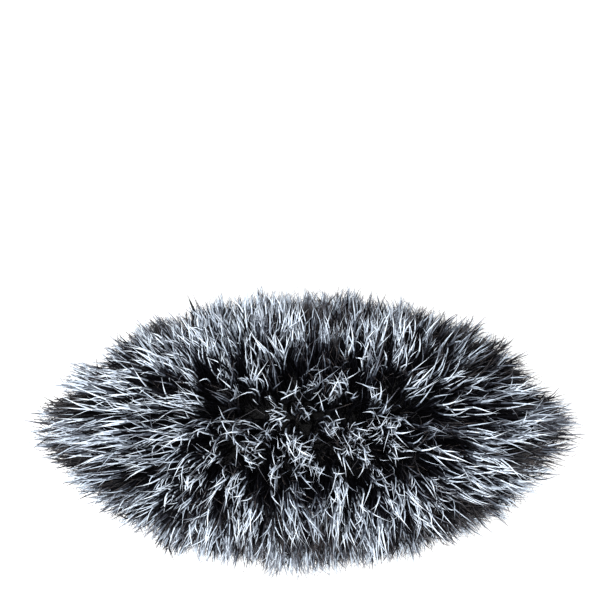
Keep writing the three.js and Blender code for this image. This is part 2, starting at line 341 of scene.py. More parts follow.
class Shade(Graph):
    """A material being written, with the patterns that the finishes share."""

    def __init__(self, name: str) -> None:
        """Start a material of that name."""
        self.material = bpy.data.materials.new(name)
        self.material.use_nodes = True
        super().__init__(self.material.node_tree)
        self.shader = self.tree.nodes["Principled BSDF"]

    def place(self, source: str = "Object") -> Socket:
        """Read where a point is, on the object or on its own UV map."""
        return self.use("ShaderNodeTexCoord", output=source)

    def noise(self, place: Socket, scale: float, detail: float = 3.0) -> Socket:
        """Make soft noise with so many patches for each metre."""
        return self.use("ShaderNodeTexNoise", {"Vector": place, "Scale": scale, "Detail": detail})

    def rows(self, place: Socket, axis: str, pitch: float) -> Socket:
        """Make rows of yarn or ribs at a pitch in metres, from 0 between them to 1 on one."""
        count = self.use("ShaderNodeSeparateXYZ", {0: place}, axis)
        return self.math("ABSOLUTE", self.math("SINE", self.times(count, math.pi / pitch)))

    def tint(self, factor: Socket, dark: Colour, light: Colour) -> None:
        """Colour the surface between two colours.

        Args:
            factor: A number from 0 for dark to 1 for light.
            dark: The colour at 0.
            light: The colour at 1.
        """
        ramp = self.node("ShaderNodeValToRGB", {0: factor})
        for stop, colour in zip(ramp.color_ramp.elements, (dark, light)):
            stop.color = (*colour, 1.0)
        self.set(self.shader, "Base Color", ramp.outputs[0])

    def gloss(self, factor: Socket, low: float, high: float) -> None:
        """Let the roughness follow a pattern, from low where it is 0 to high where it is 1."""
        rough = self.use("ShaderNodeMapRange", {0: factor, "To Min": low, "To Max": high})
        self.set(self.shader, "Roughness", rough)

    def relief(self, height: Socket, depth: float) -> None:
        """Raise the surface by a pattern that is so many metres deep."""
        bump = {"Strength": 1.0, "Distance": depth, "Height": height}
        self.set(self.shader, "Normal", self.use("ShaderNodeBump", bump))


@dataclass(frozen=True)
class Finish:
    """What a piece is made of."""

    name: str

    def material(self) -> Material:
        """Make the finish's material.

        Returns:
            The material.
        """
        shade = Shade(self.name)
        self.paint(shade)
        return shade.material

    def paint(self, shade: Shade) -> None:
        """Write the finish's pattern, colour, gloss and relief."""
        raise NotImplementedError(self.name)


@dataclass(frozen=True)
class Cloth(Finish):
    """A woven or knitted cloth: two sets of yarns, a little uneven, with a fine nap."""

    dark: Colour
    light: Colour
    across: float
    along: float
    depth: float = 0.00025
    roughness: float = 0.9
    sheen: float = 0.25
    patches: float = 120.0  # where the yarns wander, for each metre
    nap: float = 4200.0  # specks of nap for each metre

    def paint(self, shade: Shade) -> None:
        """Write the cloth's look, on the piece's own UV map in metres."""
        place = shade.place("UV")
        wander = shade.vector("MULTIPLY_ADD", shade.noise(place, self.patches),
                              (self.across * 0.5,) * 3, place)
        weave = shade.times(shade.rows(wander, "X", self.across),
                            shade.rows(wander, "Y", self.along))
        nap = shade.noise(place, self.nap)
        height = shade.math("MULTIPLY_ADD", nap, 0.35, shade.math("POWER", weave, 0.6))
        # the colour follows the relief: painted shade between the yarns, with the nap's specks in
        # the yarn's own colour
        shade.tint(height, self.dark, self.light)
        shade.gloss(nap, self.roughness - 0.1, self.roughness)
        shade.relief(height, self.depth)
        shade.set(shade.shader, "Sheen Weight", self.sheen)
        shade.set(shade.shader, "Specular IOR Level", 0.2)


@dataclass(frozen=True)
class SpacerMesh(Finish):
    """A thick open mesh: staggered round holes between looped yarn, with painted shade on the
    inner face that shows through them.

    It is cut in a crown piece, two long sides and two ends, so each lies square to its own axes.
    """

    pitch: float = 0.0027
    dark: Colour = (0.002, 0.002, 0.0025)
    light: Colour = (0.018, 0.019, 0.022)
    crown_facing: float = 0.72
    hole_rim: tuple[float, float] = (1.1, -0.3)
    loops: float = 3600.0
    depth: float = 0.0008

    def paint(self, shade: Shade) -> None:
        """Write the mesh's look, from three sets of waves at 60 degrees to each other."""
        x, y, z = shade.node("ShaderNodeSeparateXYZ", {0: shade.place()}).outputs
        facing = shade.vector("ABSOLUTE", shade.place("Normal"))
        facing = shade.node("ShaderNodeSeparateXYZ", {0: facing}).outputs
        crown = shade.math("GREATER_THAN", facing[2], self.crown_facing)
        ends = shade.math("GREATER_THAN", facing[0], facing[1])
        ends = shade.times(ends, shade.math("SUBTRACT", 1.0, crown))
        u = shade.math("MULTIPLY_ADD", ends, shade.math("SUBTRACT", y, x), x)
        v = shade.math("MULTIPLY_ADD", crown, shade.math("SUBTRACT", y, z), z)
        turns = 4 * math.pi / (math.sqrt(3) * self.pitch)
        hole = 0.0
        for across, up in ((1.0, 0.0), (0.5, 0.866), (-0.5, 0.866)):
            phase = shade.math("MULTIPLY_ADD", u, across * turns, shade.times(v, up * turns))
            hole = shade.math("ADD", hole, shade.math("COSINE", phase))
        yarn = shade.use("ShaderNodeMapRange", dict(enumerate((hole, *self.hole_rim, 0.0, 1.0))),
                         interpolation_type="SMOOTHSTEP")
        loops = shade.noise(shade.place(), self.loops, 4.0)
        height = shade.math("MULTIPLY_ADD", loops, 0.3, yarn)
        # the holes are painted dark as painted shade on the inner face, with the loops' random
        # specks
        shade.tint(height, self.dark, self.light)
        shade.gloss(loops, 0.7, 0.95)
        shade.relief(height, self.depth)
        shade.set(shade.shader, "Sheen Weight", 0.1)


@dataclass(frozen=True)
class Moulding(Finish):
    """Moulded nylon with a fine spark-eroded grain and faint flow marks."""

    colour: Colour = (0.012, 0.0125, 0.014)
    worn: Colour = (0.026, 0.027, 0.030)
    grain: float = 2600.0
    flow: float = 70.0
    depth: float = 0.00006

    def paint(self, shade: Shade) -> None:
        """Write the moulding's look."""
        place = shade.place()
        grain, flow = shade.noise(place, self.grain, 2.0), shade.noise(place, self.flow, 4.0)
        shade.tint(shade.math("MULTIPLY_ADD", grain, 0.4, shade.times(flow, 0.6)),
                   self.colour, self.worn)
        shade.gloss(flow, 0.42, 0.62)
        shade.relief(grain, self.depth)


@dataclass(frozen=True)
class Elastomer(Finish):
    """Soft rubber or foam: matt, with pits of a given size."""

    dark: Colour
    light: Colour
    pits: float
    depth: float
    dust: float = 160.0

    def paint(self, shade: Shade) -> None:
        """Write the elastomer's look."""
        place = shade.place()
        cells = {"Vector": place, "Scale": 1 / self.pits}
        cell = shade.use("ShaderNodeTexVoronoi", cells, "Distance")
        dust = shade.noise(place, self.dust, 4.0)
        height = shade.math("MINIMUM", shade.times(cell, 1.6), 1.0)
        # the pits are darker as painted shade, mixed with dust specks in the material's own colour
        shade.tint(shade.math("MULTIPLY_ADD", dust, 0.5, shade.times(height, 0.5)),
                   self.dark, self.light)
        shade.gloss(dust, 0.75, 0.95)
        shade.relief(height, self.depth)


@dataclass(frozen=True)
class Steel(Finish):
    """Zinc-plated steel wire and screws, with drawn marks and dull patches."""

    dark: Colour = (0.34, 0.35, 0.37)
    light: Colour = (0.62, 0.63, 0.65)
    patches: float = 420.0
    drawn: float = 1500.0
    depth: float = 0.00001

    def paint(self, shade: Shade) -> None:
        """Write the steel's look."""
        place = shade.place()
        drawn = shade.vector("MULTIPLY", place, (1.0, 1.0, 12.0))
        scratch = shade.noise(drawn, self.drawn, 2.0)
        shade.tint(shade.noise(place, self.patches, 4.0), self.dark, self.light)
        shade.gloss(scratch, 0.22, 0.42)
        shade.relief(scratch, self.depth)
        shade.set(shade.shader, "Metallic", 1.0)


# Mesh makers


def put(name: str, data: bpy.types.ID) -> Piece:
    """Put an object in the scene, at the origin.

    Args:
        name: The object's name.
        data: Its mesh, light or camera.

    Returns:
        The object.
    """
    made = bpy.data.objects.new(name, data)
    bpy.context.scene.collection.objects.link(made)
    return made


def draw(name: str, points: Sequence, edges: Sequence, faces: Sequence) -> Mesh:
    """Make a mesh from its points, edges and faces.

    Args:
        name: The mesh's name.
        points: Where its points are.
        edges: Pairs of point numbers.
        faces: Groups of point numbers.

    Returns:
        The mesh.
    """
    mesh = bpy.data.meshes.new(name)
    mesh.from_pydata(points, edges, faces)
    return mesh


def place_mesh(name: str, mesh: Mesh, finish: Material | None = None) -> Piece:
    """Put a mesh in the scene as a smooth-shaded piece at the origin.

    Args:
        name: The piece's name.
        mesh: Its mesh, already in its place.
        finish: Its material, if the mesh has none yet.

    Returns:
        The piece.
    """
    mesh.name = name
    if finish:
        mesh.materials.clear()
        mesh.materials.append(finish)
    mesh.polygons.foreach_set("use_smooth", [True] * len(mesh.polygons))
    mesh.update()
    return put(name, mesh)


def shown_mesh(piece: Piece) -> Mesh:
    """Take the mesh that a piece's modifiers give, and clear them.

    Args:
        piece: The piece, whose own mesh stays as it is.

    Returns:
        A new plain mesh.
    """
    shown = piece.evaluated_get(bpy.context.evaluated_depsgraph_get())
    mesh = bpy.data.meshes.new_from_object(shown)
    piece.modifiers.clear()
    return mesh


def thicken(piece: Piece, thickness: float) -> Piece:
    """Give a single skin a wall on its inner side.

    Args:
        piece: The piece.
        thickness: The wall, in metres.

    Returns:
        The same piece.
    """
    wall = piece.modifiers.new("wall", "SOLIDIFY")
    wall.thickness, wall.offset = thickness, -1.0
    piece.data = shown_mesh(piece)
    return piece


def skin_over(rows: Sequence[np.ndarray], ring: bool = True, tube: bool = False,
              tip: Sequence[float] | None = None,
              foot: Sequence[float] | None = None) -> Mesh:
    """Join rows of points into a skin with a UV map in metres.

    Args:
        rows: Rows of points, each running anticlockwise, from the lowest up or along the section.
        ring: Whether each row closes on itself.
        tube: Whether the last row joins the first.
        tip: A last point that closes the top, if there is one.
        foot: A first point that closes the bottom, if there is one.

    Returns:
        The mesh, facing outwards.
    """
    wide, high = len(rows[0]), len(rows)
    spans = range(wide if ring else wide - 1)
    middle = rows[high // 2 if tube else 0]
    step = np.linalg.norm(np.roll(middle, -1, axis=0) - middle, axis=1)
    climb = [np.linalg.norm(b - a, axis=1).mean() for a, b in zip(rows, [*rows[1:], rows[0]])]
    u, v = np.concatenate([[0.0], np.cumsum(step)]), np.concatenate([[0.0], np.cumsum(climb)])
    faces, places = [], []
    for i in range(high if tube else high - 1):
        lower, upper = i * wide, (i + 1) % high * wide
        for j in spans:
            k = (j + 1) % wide
            faces.append((lower + j, lower + k, upper + k, upper + j))
            places += [(u[j], v[i]), (u[j + 1], v[i]), (u[j + 1], v[i + 1]), (u[j], v[i + 1])]
    corners = np.concatenate(rows).tolist()
    last, end = (high - 1) * wide, v[high - 1]
    if tip is not None:
        corners.append(list(tip))
        for j in spans:
            faces.append((last + j, last + (j + 1) % wide, len(corners) - 1))
            places += [(u[j], end), (u[j + 1], end), ((u[j] + u[j + 1]) / 2, end + MM)]
    if foot is not None:
        corners.append(list(foot))
        for j in spans:
            faces.append(((j + 1) % wide, j, len(corners) - 1))
            places += [(u[j + 1], 0.0), (u[j], 0.0), ((u[j] + u[j + 1]) / 2, -MM)]
    mesh = draw("skin", corners, [], faces)
    mesh.uv_layers.new(name="cut").data.foreach_set("uv", np.array(places, np.float32).ravel())
    return mesh


def settle(piece: Piece, body: str, slot: str, *nodes: str) -> Piece:
    """Say which body a piece rides on, and hide the nodes that it stands for.

    Args:
        piece: The piece.
        body: The body that it rides on.
        slot: The record's material slot; not used.
        *nodes: The nodes that it replaces.

    Returns:
        The piece.
    """
    if nodes:
        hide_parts(*nodes)
    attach(piece, body)
    LOG.info("%s: %d faces", piece.name, len(piece.data.polygons))
    return piece


def dress(finish: Material, *nodes: str) -> None:
    """Give moulded or turned nodes their finish.

    Args:
        finish: The material.
        *nodes: The nodes.
    """
    for node in nodes:
        mesh = bpy.data.objects[node].data
        mesh.materials.clear()
        mesh.materials.append(finish)
        LOG.info("%s: %s", node, finish.name)


# Strands, stitches and springs


class PieceTree(Graph):
    """Geometry nodes with named inputs, run on a base object to make one plain piece."""

    NAME = "piece"
    SIZES: dict[str, float] = {}

    def __init__(self, finish: Material | None = None) -> None:
        """Write the tree: its inputs, its form, Realize Instances and Set Material.

        Args:
            finish: The material of the whole piece, unless the tree paints itself.
        """
        super().__init__(bpy.data.node_groups.new(self.NAME, "GeometryNodeTree"))
        self.finish = finish
        self.sockets: dict[str, str] = {}
        face = self.tree.interface
        for way in ("INPUT", "OUTPUT"):
            face.new_socket("Geometry", in_out=way, socket_type="NodeSocketGeometry")
        for label, value in self.SIZES.items():
            kind = "NodeSocketInt" if isinstance(value, int) else "NodeSocketFloat"
            made = face.new_socket(label, in_out="INPUT", socket_type=kind)
            made.default_value = value
            self.sockets[label] = made.identifier
        self.given = self.node("NodeGroupInput").outputs
        real = self.use("GeometryNodeRealizeInstances", {"Geometry": self.form()})
        self.node("NodeGroupOutput", {0: self.paint(real)})

    def form(self) -> Socket:
        """Write the nodes that make the shape, and give its geometry."""
        raise NotImplementedError(self.NAME)

    def paint(self, geometry: Socket) -> Socket:
        """Give the geometry its material."""
        return self.use("GeometryNodeSetMaterial", {"Geometry": geometry, "Material": self.finish})

    def make(self, name: str, base: Mesh, **sizes: float) -> Piece:
        """Run the tree on a base and turn the result into a plain piece.

        Args:
            name: The new piece's name.
            base: The mesh that the tree starts from.
            **sizes: Inputs by name, with underscores for spaces.

        Returns:
            The piece.
        """
        blank = put(base.name, base)
        maker = blank.modifiers.new("maker", "NODES")
        maker.node_group = self.tree
        for label, value in sizes.items():
            maker[self.sockets[label.replace("_", " ").capitalize()]] = value
        made = place_mesh(name, shown_mesh(blank))
        bpy.data.objects.remove(blank)
        return made


class StrandTree(PieceTree):
    """Geometry nodes that grow strands on a base cloth and join their tips into locks.

    The cloth carries six attributes on its vertices: sweep, from a root to where a full-length
    strand ends; lift, which way the strand bulges; crowd, how closely the roots stand; loose,
    how freely the strands stray; ragged, how far their lengths vary; and painted_shade, painted
    shade that makes them darker or paler than elsewhere.
    """

    SIZES = {
        "Strands per square metre": 500000.0,
        "Locks per square metre": 60000.0,
        "Lock pull": 0.64,
        "Lock stray": 0.0052,
        "Lock tone": 0.72,
        "Billow": 0.013,
        "Billows per metre": 75.0,
        "Billow pattern": 5.1,
        "Shortest": 0.58,
        "Longest": 1.04,
        "Strand radius": 0.00031,
        "Stray": 0.0024,
        "Curl": 0.0013,
        "Hook": 0.0045,
        "Hooked share": 0.3,
        "Floor": 0.001,
        "Seed": 0,
    }
    UPRIGHT = 0.5  # how much of a random way is up or down, against 1 in plan
    PULL = (0.2, 1.35)  # how unevenly a lock pulls its strands
    GIRTH = (0.35, 1.25)  # how unevenly thick they are
    DARK_LOSS = -0.12  # how much shorter the darkest ones are
    JOINT_SPREAD = 0.62  # under 1 puts more of the joints near the tip
    CURL_TURN, CURL_ASIDE = 7.0, 16.0  # radians from root to tip, and the sideways share
    HOOK_START = 0.55  # where a hooked tip begins to turn
    THINNEST = 0.06  # the tip's share of the strand's girth
    WORKING = ("root", "way", "rise", "curl", "hook", "girth", "shade", "along", "sweep", "lift",
               "crowd", "loose", "ragged", "painted_shade")

    def __init__(self, name: str, dyes: DyeLot, joints: int) -> None:
        """Write the tree."""
        self.NAME, self.dyes, self.joints = name, dyes, joints
        super().__init__()

    def _read(self, name: str, kind: str = FLOAT) -> Socket:
        """Read a named attribute."""
        return self.use("GeometryNodeInputNamedAttribute", {"Name": name}, data_type=kind)

    def _store(self, points: Socket, name: str, value: Any, kind: str = FLOAT) -> Socket:
        """Store a value on points as a named attribute."""
        inputs = {"Geometry": points, "Name": name, "Value": value}
        return self.use("GeometryNodeStoreNamedAttribute", inputs, data_type=kind, domain="POINT")

    def _seed(self, salt: int) -> Socket:
        """Give each random draw a seed of its own."""
        return self.math("ADD", self.given["Seed"], float(salt))

    def _random(self, salt: int, low: float = 0.0, high: float = 1.0) -> Socket:
        """Draw a number for each point."""
        limits = {"Min_001": low, "Max_001": high, "Seed": self._seed(salt)}
        return self.use("FunctionNodeRandomValue", limits, 1, data_type=FLOAT)

    def _random_way(self, salt: int, reach: Any) -> Socket:
        """Draw a vector for each point, up to a reach either way in plan and less in height."""
        limits = {"Min": (-1.0, -1.0, -self.UPRIGHT), "Max": (1.0, 1.0, self.UPRIGHT),
                  "Seed": self._seed(salt)}
        return self.scaled(self.use("FunctionNodeRandomValue", limits, data_type=VECTOR), reach)

    def _scatter(self, density: str, salt: int) -> Socket:
        """Scatter points on the cloth."""
        return self.use("GeometryNodeDistributePointsOnFaces", {
            "Mesh": self.given["Geometry"], "Seed": self._seed(salt),
            "Density": self.times(self.given[density], self._read("crowd")),
        }, "Points", distribute_method="RANDOM")

    def _roots(self) -> Socket:
        """Scatter the roots and settle where each strand ends.

        Returns:
            Points that carry root, way, rise, curl, hook, girth and shade.
        """
        given, loose = self.given, self._read("loose")
        sweep, lift = self._read("sweep", VECTOR), self._read("lift", VECTOR)
        root = self.use("GeometryNodeInputPosition")
        points = self._scatter("Strands per square metre", 0)
        locks = self._scatter("Locks per square metre", 1)
        nearest = self.use("GeometryNodeSampleNearest", {"Geometry": locks}, domain="POINT")

        def of_lock(value: Socket, kind: str = VECTOR) -> Socket:
            """Read a value at the lock that a strand belongs to."""
            inputs = {"Geometry": locks, "Value": value, "Index": nearest}
            return self.use("GeometryNodeSampleIndex", inputs, data_type=kind, domain="POINT")

        lock_tip = of_lock(self.total(root, sweep))
        lock_lean = of_lock(self._random_way(9, self.times(given["Lock stray"], loose)))
        cloud = self.node("ShaderNodeTexNoise", {
            "Vector": root, "W": given["Billow pattern"], "Scale": given["Billows per metre"],
            "Detail": 1.0}, noise_dimensions="4D").outputs
        billow = self.vector("SUBTRACT", cloud["Color"], (0.5, 0.5, 0.5))
        billow = self.scaled(self.vector("MULTIPLY", billow, (1.0, 1.0, self.UPRIGHT)),
                             self.times(given["Billow"], loose))
        reach = self.vector("DOT_PRODUCT", root, (1 / self.dyes.half_length, 0.0, 0.0), output=1)
        tone = self.use("ShaderNodeMix", {
            "Factor_Float": given["Lock tone"], "A_Float": self._random(8),
            "B_Float": of_lock(self._random(10), FLOAT)}, data_type="FLOAT")
        # painted light from the left: the tone runs paler toward the left end and darker toward
        # the right
        shade = self.math("MULTIPLY_ADD", reach, self.dyes.painted_side_light, tone)
        # painted shade: the tone is darker where the backing turns down and at the ends, and paler
        # on the crown
        shade = self.math("ADD", shade, self._read("painted_shade"))
        shade = self.math("ADD", shade, self.math("SUBTRACT", cloud[0], 0.5))
        span = self.math("SUBTRACT", given["Shortest"], given["Longest"])
        loss = self.times(self._random(2), self._read("ragged"))
        length = self.math("MULTIPLY_ADD", loss, span, given["Longest"])
        dark = self.math("GREATER_THAN", shade, Tone.SMOKE.value)
        length = self.times(length, self.math("MULTIPLY_ADD", dark, self.DARK_LOSS, 1.0))
        own = self.total(sweep, self._random_way(3, self.times(given["Stray"], loose)))
        way = self.use("ShaderNodeMix", {
            "Factor_Float": self.times(given["Lock pull"], self._random(11, *self.PULL)),
            "A_Vector": own, "B_Vector": self.vector("SUBTRACT", lock_tip, root),
        }, 1, data_type="VECTOR")
        hooked = self.math("LESS_THAN", self._random(5), given["Hooked share"])
        for name, value in {
            "root": root,
            "way": self.scaled(self.total(way, lock_lean, billow), length),
            "rise": self.scaled(lift, length),
            "curl": self._random_way(4, self.times(given["Curl"], loose)),
            "hook": self.scaled(self._random_way(6, given["Hook"]), hooked),
        }.items():
            points = self._store(points, name, value, VECTOR)
        girth = self.times(self._random(7, *self.GIRTH), given["Strand radius"])
        return self._store(self._store(points, "girth", girth), "shade", shade)

    def _strand(self) -> Socket:
        """Make one straight strand whose points carry along, from 0 at the root to 1 at the tip.

        Returns:
            The curve.
        """
        line = {"Curve": self.use("GeometryNodeCurvePrimitiveLine"), "Count": self.joints}
        along = self.use("GeometryNodeSplineParameter", output="Factor")
        return self._store(self.use("GeometryNodeResampleCurve", line), "along",
                           self.math("POWER", along, self.JOINT_SPREAD))

    def _bend(self, strands: Socket) -> Socket:
        """Carry each strand's points onto its curve, from its root to its tip.

        Args:
            strands: The realized straight strands.

        Returns:
            The bent strands.
        """
        along = self._read("along")
        root, way, rise, curl, hook = (
            self._read(name, VECTOR) for name in ("root", "way", "rise", "curl", "hook"))
        swell = self.times(along, self.math("SUBTRACT", 1.0, along), 2.0)
        far = self.math("MULTIPLY_ADD", swell, 0.5, self.math("POWER", along, 2.0))
        turn = self.times(along, self.CURL_TURN)
        aside = self.times(along, self.CURL_ASIDE, self.math("COSINE", turn))
        late = self.math("MAXIMUM", self.math("SUBTRACT", along, self.HOOK_START), 0.0)
        late = self.math("POWER", self.math("DIVIDE", late, 1 - self.HOOK_START), 2.0)
        place = self.total(
            root, self.scaled(rise, swell), self.scaled(way, far),
            self.scaled(curl, self.math("SINE", turn)),
            self.scaled(self.vector("CROSS_PRODUCT", curl, way), aside), self.scaled(hook, late))
        x, y, z = self.node("ShaderNodeSeparateXYZ", {0: place}).outputs
        z = self.math("MAXIMUM", z, self.given["Floor"])
        return self.use("GeometryNodeSetPosition", {
            "Geometry": strands, "Position": self.use("ShaderNodeCombineXYZ", {0: x, 1: y, 2: z})})

    def _skin(self, strands: Socket) -> Socket:
        """Give the strands a three-sided section that swells and then tapers to a point.

        Args:
            strands: The bent strands.

        Returns:
            Their mesh.
        """
        along = self._read("along")
        belly = self.math("SINE", self.times(self.math("POWER", along, 2.0), math.pi))
        point = self.math("SUBTRACT", 1.0, self.math("POWER", along, 6.0))
        profile = self.times(self.math("MULTIPLY_ADD", belly, 0.5, 0.5), point)
        ring = self.use("GeometryNodeCurvePrimitiveCircle", {"Resolution": 3, "Radius": 1.0})
        return self.use("GeometryNodeCurveToMesh", {
            "Curve": strands, "Profile Curve": ring, "Fill Caps": True,
            "Scale": self.times(self.math("MAXIMUM", profile, self.THINNEST),
                                self._read("girth"))})

    def form(self) -> Socket:
        """Stand a strand on each root, bend them all and give them their section."""
        spread = {"Points": self._roots(), "Instance": self._strand()}
        real = {"Geometry": self.use("GeometryNodeInstanceOnPoints", spread)}
        return self._skin(self._bend(self.use("GeometryNodeRealizeInstances", real)))

    def paint(self, geometry: Socket) -> Socket:
        """Give each length of each strand its dye.

        Args:
            geometry: The strands' mesh.

        Returns:
            The dyed mesh.
        """
        # shade holds the random tone, plus the painted side light and the painted shade by slope
        # and ends
        along, shade = self._read("along"), self._read("shade")
        for tone, (low, high) in self.dyes.tones():
            in_tone = self.times(self.math("GREATER_THAN", shade, low),
                                 self.math("LESS_THAN", shade, high))
            for band, start in enumerate(self.dyes.starts):
                past = self.math("GREATER_THAN", along, start)
                geometry = self.use("GeometryNodeSetMaterial", {
                    "Geometry": geometry, "Selection": self.times(in_tone, past),
                    "Material": self.dyes.material(tone, band)})
        return geometry

    def grow(self, name: str, scalp: Mesh, **sizes: float) -> Piece:
        """Grow strands on a cloth, and clear the numbers that they were made with.

        Args:
            name: The new piece's name.
            scalp: The base cloth, with its attributes.
            **sizes: Inputs by name, with underscores for spaces.

        Returns:
            The piece.
        """
        piece = self.make(name, scalp, **sizes)
        for working in self.WORKING:
            known = piece.data.attributes.get(working)
            if known:
                piece.data.attributes.remove(known)
        return piece


class StitchTree(PieceTree):
    """Geometry nodes that lay stitches end to end along a seam line."""

    NAME = "seam_stitches"
    SIZES = {"Pitch": 0.0024, "Length": 0.0019, "Thickness": 0.0005}

    def form(self) -> Socket:
        """Lay a long bead at each step of the line, turned along it.

        Returns:
            The instances.
        """
        given = self.given
        path = self.use("GeometryNodeMeshToCurve", {0: given["Geometry"]})
        return self.use("GeometryNodeInstanceOnPoints", {
            "Points": self.use("GeometryNodeResampleCurve",
                               {"Curve": path, "Length": given["Pitch"]}, mode="LENGTH"),
            "Instance": self.use("GeometryNodeMeshUVSphere",
                                 {"Segments": 6, "Rings": 5, "Radius": 0.5}),
            "Rotation": self.use("FunctionNodeAlignRotationToVector",
                                 {"Vector": self.use("GeometryNodeInputTangent")}, axis="X"),
            "Scale": self.use("ShaderNodeCombineXYZ", {
                0: given["Length"], 1: given["Thickness"], 2: given["Thickness"]}),
        })

    def sew(self, name: str, lines: Sequence[np.ndarray]) -> Piece:
        """Sew along closed lines.

        Args:
            name: The new piece's name.
            lines: The seam lines, each a row of points that closes on itself.

        Returns:
            The stitches.
        """
        points, edges = [], []
        for line in lines:
            start, count = len(points), len(line)
            points += line.tolist()
            edges += [(start + i, start + (i + 1) % count) for i in range(count)]
        return self.make(name, draw("seam_line", points, edges, []))


class CoilTree(PieceTree):
    """Geometry nodes that wind a round-wire spring along X."""

    NAME = "wound_spring"
    SIZES = {"Turns": 6.0, "Radius": 0.0018, "Wire": 0.0003, "Start": 0.0, "Free length": 0.01,
             "Level": 0.0}

    def form(self) -> Socket:
        """Sweep the wire's section along a spiral and lay it down along X.

        Returns:
            The coil's geometry.
        """
        given = self.given
        spiral = self.use("GeometryNodeCurveSpiral", {
            "Resolution": 22, "Rotations": given["Turns"], "Start Radius": given["Radius"],
            "End Radius": given["Radius"], "Height": given["Free length"]})
        ring = self.use("GeometryNodeCurvePrimitiveCircle",
                        {"Resolution": 10, "Radius": given["Wire"]})
        wound = {"Curve": spiral, "Profile Curve": ring, "Fill Caps": True}
        return self.use("GeometryNodeTransform", {
            "Geometry": self.use("GeometryNodeCurveToMesh", wound),
            "Rotation": (0.0, math.pi / 2, 0.0),
            "Translation": self.use("ShaderNodeCombineXYZ",
                                    {0: given["Start"], 2: given["Level"]})})


# Under the fur: lining, hem, sock, crown pad and grips


@dataclass
class SoftDome:
    """A dome of cloth over the cage: the sock, or the lining of the cover."""

    name: str
    node: str
    body: str
    slot: str
    finish: Material
    rests_on: tuple[str, ...]
    wall: float
    shoulder: float = 0.014
    columns: int = 132
    levels: int = 46

    def build(self, with_pieces: Sequence[Piece] = ()) -> None:
        """Sew the dome to the outer form of the node that it stands for.

        Args:
            with_pieces: The pieces that are sewn to it; not used.
        """
        low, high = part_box(self.node)
        form = OvalDome(high.x, high.y, low.z, self.shoulder, high.z)
        rows = form.rows(full_turn(self.columns), self.levels)
        mesh = skin_over(rows, tip=(0, 0, form.top))
        piece = thicken(place_mesh(self.name, mesh, self.finish), self.wall)
        settle(piece, self.body, self.slot, self.node)


@dataclass
class HemBand:
    """The woven tape round the mouth, the elastic outside it and two rows of stitches."""

    tape: Material
    elastic: Material
    stitches: StitchTree
    columns: int = 168
    edge: float = 0.0002
    rib: float = 0.22  # a rib's height, against the band's wall
    rounding: float = 0.3  # how far its edges draw in, against the wall
    seams: tuple[float, float] = (0.0008, 0.0006)

    def band(self, name: str, node: str, finish: Material, slot: str, wall: float,
             ribs: int) -> Piece:
        """Make a band with rounded edges and, on its outer face, lengthwise ribs.

        Args:
            name: The piece's name.
            node: The node that it stands for.
            finish: Its material.
            slot: The record's material slot.
            wall: Its thickness.
            ribs: The number of ribs.

        Returns:
            The band.
        """
        low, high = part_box(node)
        steps = np.linspace(0, 1, 6 * ribs + 1)
        relief = wall * self.rib
        swell = np.abs(np.sin(math.pi * ribs * steps)) ** 0.7 * relief
        soft = np.minimum(1, np.minimum(steps, 1 - steps) * 9) ** 0.5
        outer = zip(wall * (soft - 1) * self.rounding + swell - relief,
                    low.z + (high.z - low.z) * steps)
        inner = [(-wall, z) for z in (high.z - self.edge, low.z + self.edge)]
        rows = [oval(high.x + grow, high.y + grow, z, self.columns)
                for grow, z in [*outer, *inner]]
        return settle(place_mesh(name, skin_over(rows, tube=True), finish), "cover", slot, node)

    def build(self) -> list[Piece]:
        """Sew the hem.

        Returns:
            Its pieces.
        """
        tape = self.band("hem_tape_woven", "hem_tape", self.tape, "tape", MM, 7)
        elastic = self.band("hem_elastic_ribbed", "hem_elastic", self.elastic, "elastic",
                            1.2 * MM, 5)
        low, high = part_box("hem_tape")
        lines = [oval(high.x, high.y, z, self.columns)
                 for z in (low.z + self.seams[0], high.z - self.seams[1])]
        return [tape, elastic, settle(self.stitches.sew("hem_stitches", lines), "cover", "tape")]


@dataclass
class CrownPad:
    """The open-cell foam pad under the crown, soft at its edges, with a shallow dip in its top."""

    finish: Material
    columns: int = 72
    edge: float = 0.0022
    dip: float = 0.0006
    fill: float = 0.9
    spread: tuple[float, ...] = (0.08, 0.3, 0.55, 0.75)

    def build(self) -> None:
        """Cut the pad from rows that go out along its underside, up its edge and in on top."""
        low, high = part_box("crown_pad")
        plan = oval(high.x, high.y, 0.0, self.columns)
        lower = [(1 - self.edge * (1 - math.sin(arc)) / high.y,
                  low.z + self.edge * (1 - math.cos(arc)))
                 for arc in np.linspace(0, math.pi / 2, 6)]
        upper = [(share, low.z + high.z - z) for share, z in reversed(lower)]
        rows = [(share, low.z) for share in self.spread] + lower + upper
        rows += [(share, high.z - self.dip * (1 - share)) for share in reversed(self.spread)]
        mesh = skin_over([plan * (share, share, 0.0) + (0.0, 0.0, z) for share, z in rows],
                         tip=(0, 0, high.z - self.dip), foot=(0, 0, low.z))
        piece = place_mesh("crown_pad_foam", mesh, self.finish)
        settle(piece, "frame", "foam", "crown_pad")


@dataclass
class Grips:
    """The sprung jaw at each end of the mouth."""

    coil: CoilTree
    wire: float = 0.0003
    turns: float = 6.0
    travel: float = 0.0025

    def build(self) -> None:
        """Wind the springs, one at each jaw."""
        for side, outward in (("right", True), ("left", False)):
            node = f"jaw_spring_{side}"
            low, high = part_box(node)
            spring = self.coil.make(
                f"{node}_wound", bpy.data.meshes.new("spring_blank"), turns=self.turns,
                wire=self.wire, start=low.x + self.wire, radius=(high.z - low.z) / 2 - self.wire,
                free_length=high.x - low.x - 2 * self.wire, level=(high.z + low.z) / 2)
            settle(spring, "frame", "steel", node)
            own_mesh(spring)


# The fur cover


